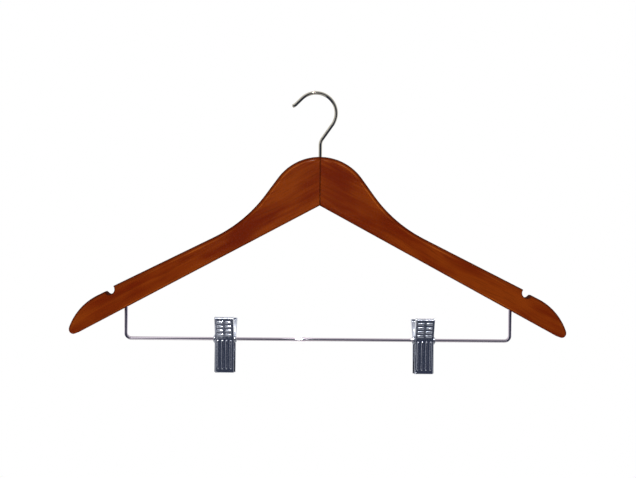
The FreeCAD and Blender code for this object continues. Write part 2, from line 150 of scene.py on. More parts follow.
class HangerWire(bpy.types.PropertyGroup):
    hook_wire: length_of(3.2, "Hook wire", "Thickness of the hook's wire")
    crown_radius: length_of(18.2, "Crown radius", "Radius of the hook's round, at the middle of the wire")
    crown_offset: length_of(4.2, "Crown offset", "How far the round stands left of the swivel axis")
    crown_end: angle_of(135.0, "Crown end", "Where the round ends, from the right")
    shank_lean: angle_of(35.0, "Shank lean", "How far the upper shank leans to the right")
    shank_bend: length_of(11.0, "Shank bend", "Radius of the bend in the shank")
    tip_run: length_of(7.0, "Tip run", "Straight length before the flared tip")
    flare_radius: length_of(8.0, "Flare radius", "Radius of the flare at the tip")
    flare_angle: angle_of(24.0, "Flare angle", "How far the tip flares out")
    head_radius: length_of(2.9, "Head radius", "Radius of the upset head below the washer")
    head_bevel: length_of(0.6, "Head bevel", "Bevel round the foot of the head")
    bar_wire: length_of(3.0, "Bar wire", "Thickness of the bar's wire")
    bar_bend: length_of(5.0, "Bar bend", "Radius of the bends at the ends of the bar")
    hook_plating: colour_of("#C4BEB0", "Hook plating", "Tint of the chrome on the hook")
    bar_plating: colour_of("#CFC5D0", "Bar plating", "Tint of the chrome on the bar")
    zinc_dark: colour_of("#9A9A9C", "Dark zinc", "Dull patches of the zinc on the washer")
    zinc_light: colour_of("#C8C8C6", "Light zinc", "Bright patches of the zinc on the washer")


class HangerClip(bpy.types.PropertyGroup):
    edge_round: length_of(0.16, "Edge round", "Rounding of the sheet's cut edges")
    press_round: length_of(0.55, "Press round", "Rounding of the pressed beads and ribs")
    lip_round: length_of(0.25, "Lip round", "Rounding of the lip along the top of each finger plate")
    lip_depth: length_of(1.9, "Lip depth", "Height of the lip along the top of each finger plate")
    plating: colour_of("#C2C6D2", "Plating", "Tint of the plating on the pressed sheet")
    spring_wire: length_of(0.9, "Spring wire", "Thickness of the spring's wire")
    spring_radius: length_of(2.95, "Spring radius", "Radius of the coil, at the middle of the wire")
    spring_length: length_of(6.0258, "Spring length", "Length of the coil along the bar")
    spring_leg: length_of(15.0, "Spring leg", "Length of each leg of the spring")
    spring_lean: angle_of(20.648, "Spring lean", "How far each leg leans out from upright")
    spring_turn: angle_of(1205.151, "Spring turn", "How far the wire turns from one leg to the other")
    spring_dark: colour_of("#6E6E73", "Dark spring", "Dark specks on the oiled spring wire")
    spring_light: colour_of("#A5A5AB", "Light spring", "Bright specks on the oiled spring wire")
    bore_radius: length_of(1.6, "Sleeve bore", "Radius of the hole in the sleeve")
    barrel_radius: length_of(2.15, "Sleeve barrel", "Radius of the sleeve between its heads")
    head_radius: length_of(3.0, "Sleeve head", "Radius of the sleeve's spread heads")
    head_thickness: length_of(0.8, "Sleeve head thickness", "Thickness of the sleeve's heads")
    sleeve_plating: colour_of("#D8D8DE", "Sleeve plating", "Tint of the bright plating on the sleeves")
    rubber: colour_of("#1D1C1E", "Rubber", "Colour of the grip pads")


class HangerStage(bpy.types.PropertyGroup):
    floor_level: bpy.props.FloatProperty(
        name="Floor level", description="Height of the floor under a rail", default=-1.6, unit="LENGTH"
    )
    floor_radius: bpy.props.FloatProperty(
        name="Floor radius", description="Radius of the round floor", default=1.3, unit="LENGTH"
    )
    floor_colour: colour_of("#F2F2F0", "Floor", "Colour of the painted floor")
    key_power: watts_of(9.0, "Key power", "Power of each large soft lamp, in front and behind")
    glint_power: watts_of(16.0, "Glint power", "Power of the small lamp above the camera")
    side_glint_power: watts_of(1.6, "Side glint power", "Power of the small lamp on the right")
    strip_power: watts_of(0.5, "Strip power", "Power of each soft lamp on the left")
    ambient: bpy.props.FloatProperty(
        name="Ambient", description="Even light of the studio on matt surfaces", default=0.5, min=0.0
    )
    room_colour: colour_of("#3B4152", "Room", "The dim room behind the camera, as the metal mirrors it")


def add(tree, kind, inputs=None, **settings):
    """Adds a node with its settings, and sets or links its sockets."""
    node = tree.nodes.new(kind)
    for field, value in settings.items():
        setattr(node, field, value)
    for name, value in (inputs or {}).items():
        if isinstance(value, bpy.types.NodeSocket):
            tree.links.new(value, node.inputs[name])
        else:
            node.inputs[name].default_value = value
    return node


def new_material(name, **sockets):
    """A material with one principled shader, whose sockets are set by name."""
    material = bpy.data.materials.new(name)
    material.use_nodes = True
    tree = material.node_tree
    shader = tree.nodes["Principled BSDF"]
    for socket, value in sockets.items():
        shader.inputs[socket.replace("_", " ")].default_value = value
    return material, tree, shader


def repeats(x, y, z):
    """The scale on each axis of a pattern that has these real sizes."""
    return (1 / x, 1 / y, 1 / z)


def lacquered_wood(name, settings, angle, shift):
    """Stained schima wood under satin lacquer: golden and red-brown patches, fine grain, painted shade on the
    rims and a painted highlight line.
    """
    wander_scale = repeats(70 * MM, 40 * MM, 25 * MM)
    wander_reach = (0.0, 5 * MM, 9 * MM)
    pore_sink = 0.1 * MM
    # Distances from the seam: where the painted highlight line is whole or faint, and how far the dark seam
    # line reaches
    line_whole = 165 * MM
    line_faint = 195 * MM
    seam_reach = 0.8 * MM
    seam_core = 0.25 * MM
    material, tree, shader = new_material(
        name, Roughness=0.5, Specular_IOR_Level=0.0,
        Coat_Weight=0.03, Coat_Roughness=0.18, Coat_IOR=1.5,
    )
    surface = add(tree, "ShaderNodeTexCoord")
    turned = add(
        tree, "ShaderNodeMapping",
        {"Vector": surface.outputs["Object"], "Location": shift, "Rotation": (0.0, angle, 0.0)},
    ).outputs["Vector"]

    # The grain wanders a little on its way along the arm
    wander_place = add(tree, "ShaderNodeMapping", {"Vector": turned, "Scale": wander_scale})
    wander = add(
        tree, "ShaderNodeTexNoise", {"Vector": wander_place.outputs["Vector"], "Scale": 1.0, "Detail": 1.0}
    )
    swing = add(
        tree, "ShaderNodeVectorMath",
        {0: wander.outputs["Color"], 1: (0.5, 0.5, 0.5)}, operation="SUBTRACT",
    )
    bent = add(
        tree, "ShaderNodeVectorMath",
        {0: swing.outputs["Vector"], 1: wander_reach, 2: turned}, operation="MULTIPLY_ADD",
    ).outputs["Vector"]

    # Broad patches take more or less of the stain, and growth bands run through them
    patch_scale = repeats(settings.patch_length, settings.patch_width, settings.patch_width)
    patch_place = add(tree, "ShaderNodeMapping", {"Vector": bent, "Scale": patch_scale})
    patches = add(
        tree, "ShaderNodeTexNoise", {"Vector": patch_place.outputs["Vector"], "Scale": 1.0, "Detail": 2.0}
    )
    band_scale = repeats(settings.band_length, 2 * settings.band_width, settings.band_width)
    band_place = add(tree, "ShaderNodeMapping", {"Vector": bent, "Scale": band_scale})
    bands = add(
        tree, "ShaderNodeTexNoise",
        {"Vector": band_place.outputs["Vector"], "Scale": 1.0, "Detail": 4.0, "Roughness": 0.6},
    )
    uptake = add(tree, "ShaderNodeMix", {0: 0.4, 2: patches.outputs["Fac"], 3: bands.outputs["Fac"]})
    tone = add(
        tree, "ShaderNodeMapRange",
        {"Value": uptake.outputs[0], "From Min": 0.36, "From Max": 0.64}, interpolation_type="SMOOTHSTEP",
    ).outputs["Result"]
    stain = add(
        tree, "ShaderNodeMix",
        {0: tone, 6: opaque(settings.stain_dark), 7: opaque(settings.stain_light)}, data_type="RGBA",
    )

    # Pore lines hold more of the stain
    pore_scale = repeats(settings.pore_length, settings.pore_width, settings.pore_width)
    pore_place = add(tree, "ShaderNodeMapping", {"Vector": bent, "Scale": pore_scale})
    pores = add(
        tree, "ShaderNodeTexNoise",
        {"Vector": pore_place.outputs["Vector"], "Scale": 1.0, "Detail": 2.0, "Roughness": 0.5},
    )
    depth = add(
        tree, "ShaderNodeMapRange",
        {"Value": pores.outputs["Fac"], "From Min": 0.53, "From Max": 0.75, "To Max": 0.4},
    ).outputs["Result"]
    grained = add(
        tree, "ShaderNodeMix",
        {0: depth, 6: stain.outputs[2], 7: opaque(settings.pore_colour)}, data_type="RGBA",
    )

    # A painted highlight: a pale line where the face begins to round over, which fades towards the noses
    rim = add(tree, "ShaderNodeAttribute", attribute_name="rim").outputs["Fac"]
    begun = add(
        tree, "ShaderNodeMapRange", {"Value": rim, "From Min": 0.0005, "From Max": 0.01}
    ).outputs["Result"]
    early = add(
        tree, "ShaderNodeMapRange", {"Value": rim, "From Min": 0.07, "From Max": 0.03, "To Max": 0.9}
    ).outputs["Result"]
    line = add(tree, "ShaderNodeMath", {0: begun, 1: early}, operation="MULTIPLY").outputs["Value"]
    apart = add(tree, "ShaderNodeSeparateXYZ", {"Vector": surface.outputs["Object"]})
    off_seam = add(tree, "ShaderNodeMath", {0: apart.outputs["X"]}, operation="ABSOLUTE").outputs["Value"]
    fading = add(
        tree, "ShaderNodeMapRange",
        {"Value": off_seam, "From Min": line_faint, "From Max": line_whole, "To Min": 0.15},
    ).outputs["Result"]
    painted_highlight_line = add(tree, "ShaderNodeMath", {0: line, 1: fading}, operation="MULTIPLY").outputs["Value"]
    painted_highlight_share = add(tree, "ShaderNodeMath", {0: painted_highlight_line, 1: tone}, operation="MULTIPLY").outputs["Value"]
    lined = add(
        tree, "ShaderNodeMix",
        {0: painted_highlight_share, 6: grained.outputs[2], 7: opaque(settings.painted_highlight_colour)}, data_type="RGBA",
    )

    # Painted shade darkens the rim beyond that line, and the colour darkens along the glued seam
    painted_rim_shade = add(
        tree, "ShaderNodeMapRange",
        {"Value": rim, "From Min": 0.02, "From Max": 0.5, "To Max": 0.7}, interpolation_type="SMOOTHSTEP",
    ).outputs["Result"]
    seam = add(
        tree, "ShaderNodeMapRange",
        {"Value": off_seam, "From Min": seam_reach, "From Max": seam_core, "To Max": 0.7},
    ).outputs["Result"]
    rim_shade_and_seam = add(tree, "ShaderNodeMath", {0: painted_rim_shade, 1: seam}, operation="MAXIMUM").outputs["Value"]
    colour = add(
        tree, "ShaderNodeMix",
        {0: rim_shade_and_seam, 6: lined.outputs[2], 7: opaque(settings.painted_rim_shade_and_seam_colour)}, data_type="RGBA",
    )
    tree.links.new(colour.outputs[2], shader.inputs["Base Color"])

    # The lacquer sinks a little into the pores
    sink = add(
        tree, "ShaderNodeBump", {"Height": depth, "Strength": 0.12, "Distance": pore_sink}, invert=True
    )
    tree.links.new(sink.outputs["Normal"], shader.inputs["Normal"])
    return material


def chromed_wire(name, tint):
    """Bright chrome on drawn steel wire: a mirror with a faint cloudy haze."""
    haze_size = 4 * MM
    material, tree, shader = new_material(name, Base_Color=opaque(tint), Metallic=1.0)
    place = add(tree, "ShaderNodeTexCoord").outputs["Object"]
    haze = add(tree, "ShaderNodeTexNoise", {"Vector": place, "Scale": 1 / haze_size, "Detail": 3.0})
    rough = add(
        tree, "ShaderNodeMapRange", {"Value": haze.outputs["Fac"], "To Min": 0.02, "To Max": 0.045}
    )
    tree.links.new(rough.outputs["Result"], shader.inputs["Roughness"])
    return material


def plated_sheet(name, tint):
    """Chrome on pressed sheet steel: a mirror that ripples where the press has drawn the sheet."""
    ripple_scale = repeats(2.2 * MM, 3 * MM, 9 * MM)
    ripple_depth = 0.25 * MM
    smear_size = 1.6 * MM
    material, tree, shader = new_material(name, Base_Color=opaque(tint), Metallic=1.0)
    place = add(tree, "ShaderNodeTexCoord").outputs["Object"]
    ripple_place = add(tree, "ShaderNodeMapping", {"Vector": place, "Scale": ripple_scale})
    ripple = add(
        tree, "ShaderNodeTexNoise", {"Vector": ripple_place.outputs["Vector"], "Scale": 1.0, "Detail": 2.0}
    )
    wave = add(
        tree, "ShaderNodeBump",
        {"Height": ripple.outputs["Fac"], "Strength": 0.35, "Distance": ripple_depth},
    )
    tree.links.new(wave.outputs["Normal"], shader.inputs["Normal"])
    smear = add(tree, "ShaderNodeTexNoise", {"Vector": place, "Scale": 1 / smear_size, "Detail": 4.0})
    rough = add(
        tree, "ShaderNodeMapRange", {"Value": smear.outputs["Fac"], "To Min": 0.1, "To Max": 0.26}
    )
    tree.links.new(rough.outputs["Result"], shader.inputs["Roughness"])
    return material


def spring_steel(name, dark, light):
    """Drawn spring wire, oiled and not plated: grey, with a dull gleam and fine specks."""
    speck_size = 0.6 * MM
    material, tree, shader = new_material(name, Metallic=1.0, Roughness=0.34)
    place = add(tree, "ShaderNodeTexCoord").outputs["Object"]
    speck = add(tree, "ShaderNodeTexNoise", {"Vector": place, "Scale": 1 / speck_size, "Detail": 4.0})
    colour = add(
        tree, "ShaderNodeMix", {0: speck.outputs["Fac"], 6: opaque(dark), 7: opaque(light)}, data_type="RGBA"
    )
    tree.links.new(colour.outputs[2], shader.inputs["Base Color"])
    return material


def zinc_steel(name, dark, light):
    """Zinc plate on a stamped washer: pale grey with cloudy patches."""
    cloud_size = 1.5 * MM
    material, tree, shader = new_material(name, Metallic=1.0, Roughness=0.38)
    place = add(tree, "ShaderNodeTexCoord").outputs["Object"]
    cloud = add(tree, "ShaderNodeTexNoise", {"Vector": place, "Scale": 1 / cloud_size, "Detail": 3.0})
    colour = add(
        tree, "ShaderNodeMix", {0: cloud.outputs["Fac"], 6: opaque(dark), 7: opaque(light)}, data_type="RGBA"
    )
    tree.links.new(colour.outputs[2], shader.inputs["Base Color"])
    return material


def grip_rubber(name, colour):
    """Moulded synthetic rubber: near black, matt, with a fine pebbled skin and a pale bloom."""
    pebble_size = 0.5 * MM
    pebble_depth = 0.05 * MM
    bloom_share = 2.2
    material, tree, shader = new_material(name, Roughness=0.72, IOR=1.52)
    place = add(tree, "ShaderNodeTexCoord").outputs["Object"]
    pebble = add(tree, "ShaderNodeTexNoise", {"Vector": place, "Scale": 1 / pebble_size, "Detail": 2.0})
    pale = [bloom_share * c for c in colour]
    bloom = add(
        tree, "ShaderNodeMix",
        {0: pebble.outputs["Fac"], 6: opaque(colour), 7: opaque(pale)}, data_type="RGBA",
    )
    tree.links.new(bloom.outputs[2], shader.inputs["Base Color"])
    skin = add(
        tree, "ShaderNodeBump", {"Height": pebble.outputs["Fac"], "Strength": 0.3, "Distance": pebble_depth}
    )
    tree.links.new(skin.outputs["Normal"], shader.inputs["Normal"])
    return material


def finish_piece(name, bm, material, node, body):
    """Makes a mesh object that stands for a node, shaded smooth between its sharp edges."""
    mesh = bpy.data.meshes.new(name)
    bm.to_mesh(mesh)
    bm.free()
    mesh.shade_smooth()
    mesh.set_sharp_from_angle(angle=SHARP_ANGLE)
    mesh.materials.append(material)
    piece = bpy.data.objects.new(name, mesh)
    bpy.context.scene.collection.objects.link(piece)
    even = piece.modifiers.new("Even shading", "WEIGHTED_NORMAL")
    even.keep_sharp = True
    even.weight = 100
    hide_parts(node)
    if body:
        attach(piece, body)
    return piece


def solid_copy(node):
    """A merged copy of a node's mesh, its flat faces whole again."""
    bm = bmesh.new()
    bm.from_mesh(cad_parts[node].data)
    bmesh.ops.remove_doubles(bm, verts=bm.verts, dist=MERGE_DISTANCE)
    bmesh.ops.dissolve_limit(bm, angle_limit=FLAT_ANGLE, verts=bm.verts, edges=bm.edges)
    return bm


def mark_rims(bm):
    """Stores on each point how far the upper edges of a board have rounded over from its flat faces."""
    face_on = 0.9999
    underside = -0.2
    bm.normal_update()
    rim = bm.verts.layers.float.new("rim")
    for vert in bm.verts:
        on_face = any(abs(face.normal.y) > face_on for face in vert.link_faces)
        below = vert.normal.z < underside
        vert[rim] = 0.0 if on_face or below else 1.0 - abs(vert.normal.y)


def round_edges(bm, width, angles, segments, top=math.inf, foot=-math.inf):
    """Rounds the outer edges of a sheet or block that turn by an angle in a range, between two levels."""
    least, most = (math.radians(angle) for angle in angles)
    edges = [
        edge for edge in bm.edges
        if edge.is_manifold and least < edge.calc_face_angle_signed() <= most
        and all(foot <= vert.co.z <= top for vert in edge.verts)
    ]
    bmesh.ops.bevel(
        bm, geom=edges, offset=width, offset_type="OFFSET", segments=segments, profile=0.5,
        affect="EDGES", material=-1, clamp_overlap=False,
    )


def ring(bm, centre, heading, radius, sides):
    """An open ring of edges square to a heading."""
    turn = Vector(heading).to_track_quat("Z", "Y").to_matrix().to_4x4()
    made = bmesh.ops.create_circle(
        bm, cap_ends=False, radius=radius, segments=sides, matrix=Matrix.Translation(centre) @ turn
    )
    edges = {edge for vert in made["verts"] for edge in vert.link_edges}
    return sorted(edges, key=lambda edge: edge.index)


def run(bm, edges, shift, swell=1.0):
    """Draws a ring on along a straight line, and swells or narrows its far end."""
    made = bmesh.ops.extrude_edge_only(bm, edges=edges)["geom"]
    verts = [item for item in made if isinstance(item, bmesh.types.BMVert)]
    bmesh.ops.translate(bm, verts=verts, vec=shift)
    if swell != 1.0:
        middle = sum((vert.co for vert in verts), Vector()) / len(verts)
        around = Matrix.Translation(-middle)
        bmesh.ops.scale(bm, verts=verts, vec=(swell, swell, swell), space=around)
    far = set(verts)
    return [item for item in made if isinstance(item, bmesh.types.BMEdge) and set(item.verts) <= far]


def bend(bm, edges, centre, axis, angle, steps, rise=(0.0, 0.0, 0.0)):
    """Turns a ring about an axis, with a rise at each step for a coil."""
    verts = list({vert for edge in edges for vert in edge.verts})
    made = bmesh.ops.spin(
        bm, geom=verts + edges, cent=centre, axis=axis, dvec=rise, angle=angle, steps=steps,
        use_merge=False, use_duplicate=False,
    )
    return [item for item in made["geom_last"] if isinstance(item, bmesh.types.BMEdge)]


def close_ends(bm):
    """Caps the open rings and turns all faces outwards."""
    open_edges = [edge for edge in bm.edges if edge.is_boundary]
    bmesh.ops.holes_fill(bm, edges=open_edges, sides=0)
    bmesh.ops.recalc_face_normals(bm, faces=bm.faces)


def lathe(profile, centre, axis):
    """A closed profile spun into a ring."""
    bm = bmesh.new()
    verts = [bm.verts.new(point) for point in profile]
    edges = [bm.edges.new((verts[place - 1], vert)) for place, vert in enumerate(verts)]
    bmesh.ops.spin(
        bm, geom=verts + edges, cent=centre, axis=axis, dvec=(0.0, 0.0, 0.0), angle=2 * math.pi,
        steps=LATHE_STEPS, use_merge=True, use_duplicate=False,
    )
    bmesh.ops.remove_doubles(bm, verts=bm.verts, dist=MERGE_DISTANCE)
    bmesh.ops.recalc_face_normals(bm, faces=bm.faces)
    return bm


def pivot_of(side):
    """The point on the bar's axis in the middle of a clip."""
    low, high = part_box(side + "_clip_sleeve")
    return (low + high) / 2


class HANGER_OT_wooden_arms(bpy.types.Operator):
    """Finish the two arms as lacquered wood, each with its own grain"""
    bl_idname = "hanger.wooden_arms"
    bl_label = "Wooden arms"

    def execute(self, context):
        settings = context.scene.hanger_wood
        # The right arm is sawn from another place in the board
        boards = (
            ("left", settings.grain_angle, (0.0, 0.0, 0.0)),
            ("right", -settings.grain_angle, (0.31, 0.17, 0.23)),
        )
        for side, angle, shift in boards:
            wood = lacquered_wood("Stained wood, %s arm" % side, settings, angle, shift)
            bm = solid_copy(side + "_arm")
            mark_rims(bm)
            finish_piece("wooden_arm_" + side, bm, wood, side + "_arm", "frame")
        return {"FINISHED"}


class HANGER_OT_swivel_hook(bpy.types.Operator):
    """Bend the hook from round wire, with its upset head below and its rounded tip"""
    bl_idname = "hanger.swivel_hook"
    bl_label = "Swivel hook"

    def execute(self, context):
        settings = context.scene.hanger_wire
        wire = settings.hook_wire / 2
        lean = settings.shank_lean
        crown_drop = math.sqrt((settings.crown_radius - wire) ** 2 - settings.crown_offset ** 2)
        crown = Vector((-settings.crown_offset, 0.0, -crown_drop))
        corner_drop = (settings.crown_radius - settings.crown_offset * math.cos(lean)) / math.sin(lean)
        corner = Vector((0.0, 0.0, crown.z - corner_drop))
        setback = settings.shank_bend * math.tan(lean / 2)
        up_lean = Vector((math.sin(lean), 0.0, math.cos(lean)))
        crown_start = crown + Vector((math.cos(lean), 0.0, -math.sin(lean))) * settings.crown_radius
        bend_start = corner - Vector((0.0, 0.0, setback))
        bend_centre = bend_start + Vector((settings.shank_bend, 0.0, 0.0))
        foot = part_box("swivel_hook")[0].z
        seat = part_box("hook_washer")[0].z - HEAD_GAP
        up = Vector((0.0, 0.0, 1.0))
        head = settings.head_radius
        bevel = settings.head_bevel

        # The head, the shank and the crown
        bm = bmesh.new()
        edges = ring(bm, Vector((0.0, 0.0, foot)), up, head - bevel, HOOK_SIDES)
        edges = run(bm, edges, up * bevel, head / (head - bevel))
        edges = run(bm, edges, up * (seat - foot - bevel))
        edges = run(bm, edges, up * 0.0, wire / head)
        edges = run(bm, edges, up * (bend_start.z - seat))
        edges = bend(bm, edges, bend_centre, (0.0, 1.0, 0.0), lean, BEND_STEPS)
        edges = run(bm, edges, up_lean * (crown_start - corner - up_lean * setback).length)
        edges = bend(bm, edges, crown, (0.0, -1.0, 0.0), settings.crown_end + lean, CROWN_STEPS)

        # The flared tip, with its end rounded over
        on = Vector((-math.sin(settings.crown_end), 0.0, math.cos(settings.crown_end)))
        edges = run(bm, edges, on * settings.tip_run)
        outward = Vector((on.z, 0.0, -on.x))
        flare_start = crown + outward * settings.crown_radius + on * settings.tip_run
        flare_centre = flare_start + outward * settings.flare_radius
        edges = bend(bm, edges, flare_centre, (0.0, 1.0, 0.0), settings.flare_angle, FLARE_STEPS)
        out = Matrix.Rotation(settings.flare_angle, 3, "Y") @ on
        reached = 0.0
        for step in range(1, TIP_STEPS + 1):
            before = math.cos(TIP_TURN * (step - 1))
            after = math.cos(TIP_TURN * step)
            depth = TIP_LENGTH * math.sin(TIP_TURN * step)
            edges = run(bm, edges, out * (depth - reached), after / before)
            reached = depth
        close_ends(bm)
        chrome = chromed_wire("Chromed hook wire", settings.hook_plating)
        finish_piece("hook_wire", bm, chrome, "swivel_hook", "hook")
        return {"FINISHED"}


class HANGER_OT_hook_washer(bpy.types.Operator):
    """Turn the stamped washer that the hook's head bears on"""
    bl_idname = "hanger.hook_washer"
    bl_label = "Hook washer"

    def execute(self, context):
        settings = context.scene.hanger_wire
        low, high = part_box("hook_washer")
        inner = settings.hook_wire / 2 + WASHER_PLAY
        rim = WASHER_RIM
        profile = [
            (inner, 0.0, low.z), (high.x - rim, 0.0, low.z), (high.x, 0.0, low.z + rim),
            (high.x, 0.0, high.z - rim), (high.x - rim, 0.0, high.z), (inner, 0.0, high.z),
        ]
        bm = lathe(profile, (0.0, 0.0, 0.0), (0.0, 0.0, 1.0))
        zinc = zinc_steel("Zinc plated washer", settings.zinc_dark, settings.zinc_light)
        finish_piece("washer", bm, zinc, "hook_washer", "frame")
        return {"FINISHED"}


class HANGER_OT_clip_bar(bpy.types.Operator):
    """Bend the bar from round wire, its ends turned up into the arms"""
    bl_idname = "hanger.clip_bar"
    bl_label = "Clip bar"

    def execute(self, context):
        settings = context.scene.hanger_wire
        low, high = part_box("clip_bar")
        wire = settings.bar_wire / 2
        reach = (high.x - low.x) / 2 - wire
        level = pivot_of("left").z
        turn = settings.bar_bend
        down = Vector((0.0, 0.0, -1.0))
        across = Vector((1.0, 0.0, 0.0))
        back = (0.0, -1.0, 0.0)
        bm = bmesh.new()
        edges = ring(bm, Vector((-reach, 0.0, high.z)), down, wire, BAR_SIDES)
        edges = run(bm, edges, down * (high.z - level - turn))
        edges = bend(bm, edges, Vector((turn - reach, 0.0, level + turn)), back, math.pi / 2, BEND_STEPS)
        edges = run(bm, edges, across * 2 * (reach - turn))
        edges = bend(bm, edges, Vector((reach - turn, 0.0, level + turn)), back, math.pi / 2, BEND_STEPS)
        run(bm, edges, -down * (high.z - level - turn))
        close_ends(bm)
        chrome = chromed_wire("Chromed bar wire", settings.bar_plating)
        finish_piece("bar_wire", bm, chrome, "clip_bar", "frame")
        return {"FINISHED"}


class HANGER_OT_clip_jaws(bpy.types.Operator):
    """Finish the pressed jaws of both clips, with their folds and pressings rounded"""
    bl_idname = "hanger.clip_jaws"
    bl_label = "Clip jaws"

    def execute(self, context):
        settings = context.scene.hanger_clip
        chrome = plated_sheet("Chromed pressed steel", settings.plating)
        for side in SIDES:
            for place in PLACES:
                node = "%s_clip_%s_jaw" % (side, place)
                body = "%s_%s" % (side, place)
                bm = solid_copy(node)
                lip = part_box(node)[1].z - settings.lip_depth
                round_edges(bm, settings.press_round, PRESS_ANGLES, PRESS_SEGMENTS, top=lip)
                round_edges(bm, settings.lip_round, PRESS_ANGLES, LIP_SEGMENTS, foot=lip)
                round_edges(bm, settings.edge_round, CUT_ANGLES, EDGE_SEGMENTS)
                finish_piece("%s_jaw_%s" % (place, side), bm, chrome, node, body)
        return {"FINISHED"}


class HANGER_OT_clip_sleeves(bpy.types.Operator):
    """Turn the hollow rivets that the jaws swing on"""
    bl_idname = "hanger.clip_sleeves"
    bl_label = "Clip sleeves"

    def execute(self, context):
        settings = context.scene.hanger_clip
        bright = chromed_wire("Bright rivet plating", settings.sleeve_plating)
        bore = settings.bore_radius
        barrel = settings.barrel_radius
        head = settings.head_radius
        lip = settings.head_thickness / 4
        for side in SIDES:
            node = side + "_clip_sleeve"
            middle = pivot_of(side)
            half = (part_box(node)[1].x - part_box(node)[0].x) / 2
            shoulder = half - settings.head_thickness
            right = [
                (shoulder, barrel), (shoulder, head - lip),
                (shoulder + lip, head), (half - 2 * lip, head),
                (half - lip, head - lip), (half, head - 2.5 * lip),
                (half, bore + lip), (half - lip, bore),
            ]
            outline = right + [(-x, radius) for x, radius in reversed(right)]
            profile = [middle + Vector((x, radius, 0.0)) for x, radius in outline]
            bm = lathe(profile, middle, (1.0, 0.0, 0.0))
            finish_piece("rivet_" + side, bm, bright, node, side + "_sleeve")
        return {"FINISHED"}


class HANGER_OT_clip_springs(bpy.types.Operator):
    """Wind the torsion springs, whose legs follow the two jaws"""
    bl_idname = "hanger.clip_springs"
    bl_label = "Clip springs"

    def execute(self, context):
        settings = context.scene.hanger_clip
        steel = spring_steel("Oiled spring steel", settings.spring_dark, settings.spring_light)
        radius = settings.spring_radius
        length = settings.spring_length
        leg = settings.spring_leg
        turn = settings.spring_turn
        rise = (length / SPRING_STEPS, 0.0, 0.0)
        start_angle = math.pi + settings.spring_lean
        y = radius * math.cos(start_angle)
        z = radius * math.sin(start_angle)
        axis = (1.0, 0.0, 0.0)
        for side in SIDES:
            middle = pivot_of(side)
            start = middle + Vector((-length / 2, y, z))
            first = Vector((length / turn, -z, y)).normalized()
            last = Matrix.Rotation(turn, 3, "X") @ first
            bm = bmesh.new()
            edges = ring(bm, start - first * leg, first, settings.spring_wire / 2, SPRING_SIDES)
            edges = run(bm, edges, first * leg)
            edges = bend(bm, edges, middle, axis, turn, SPRING_STEPS, rise)
            run(bm, edges, last * leg)
            close_ends(bm)
            node = side + "_clip_spring"
            piece = finish_piece("spring_" + side, bm, steel, node, None)
            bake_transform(piece)
        return {"FINISHED"}


class HANGER_OT_grip_pads(bpy.types.Operator):
    """Finish the scored rubber pads in the toes of the jaws"""
    bl_idname = "hanger.grip_pads"
    bl_label = "Grip pads"

    def execute(self, context):
        settings = context.scene.hanger_clip
        rubber = grip_rubber("Moulded grip rubber", settings.rubber)
        for side in SIDES:
            for place in PLACES:
                node = "%s_clip_%s_pad" % (side, place)
                body = "%s_%s" % (side, place)
                bm = solid_copy(node)
                round_edges(bm, settings.edge_round / 2, PAD_ANGLES, EDGE_SEGMENTS)
                finish_piece("%s_pad_%s" % (place, side), bm, rubber, node, body)
        return {"FINISHED"}


